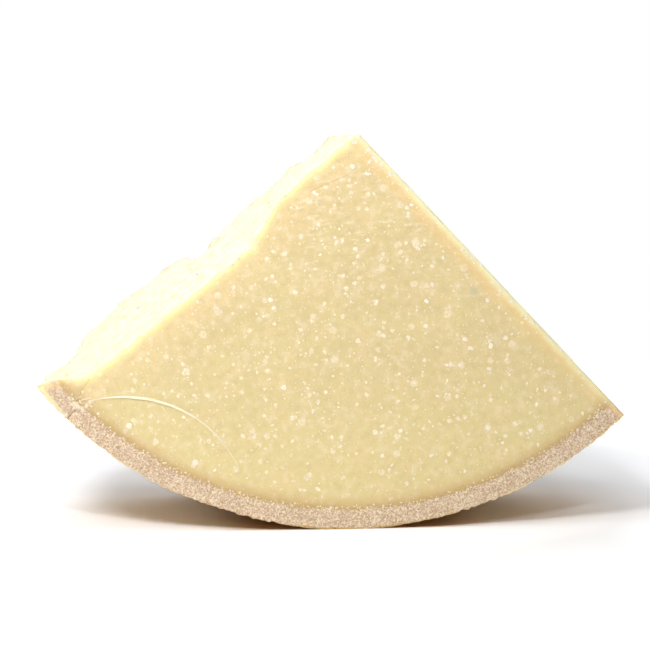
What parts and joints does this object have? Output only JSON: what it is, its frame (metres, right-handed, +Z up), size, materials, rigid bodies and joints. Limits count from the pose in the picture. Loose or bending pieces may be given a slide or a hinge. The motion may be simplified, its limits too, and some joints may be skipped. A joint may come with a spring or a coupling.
{
  "type": "parmesan chunk",
  "caption": "Quarter-turn chunk of an aged hard cheese wheel, halved at mid height, lying on its rind with one broken side and one clean cut.",
  "frame": {"origin": "on the floor, in the middle of the flat spot of the rind that the chunk rests on, half way through its depth", "axes": "+Z up; +X right, along the mid-height cut; -Y out of the mid-height cut, +Y towards the wheel's plate"},
  "size_m": [0.3142, 0.1159, 0.21],
  "materials": {
    "cheese": "pale straw paste with white crystals, a granular rind band and a golden skin"
  },
  "bodies": {
    "root": {"cheese_chunk": "cheese"}
  },
  "joints": []
}
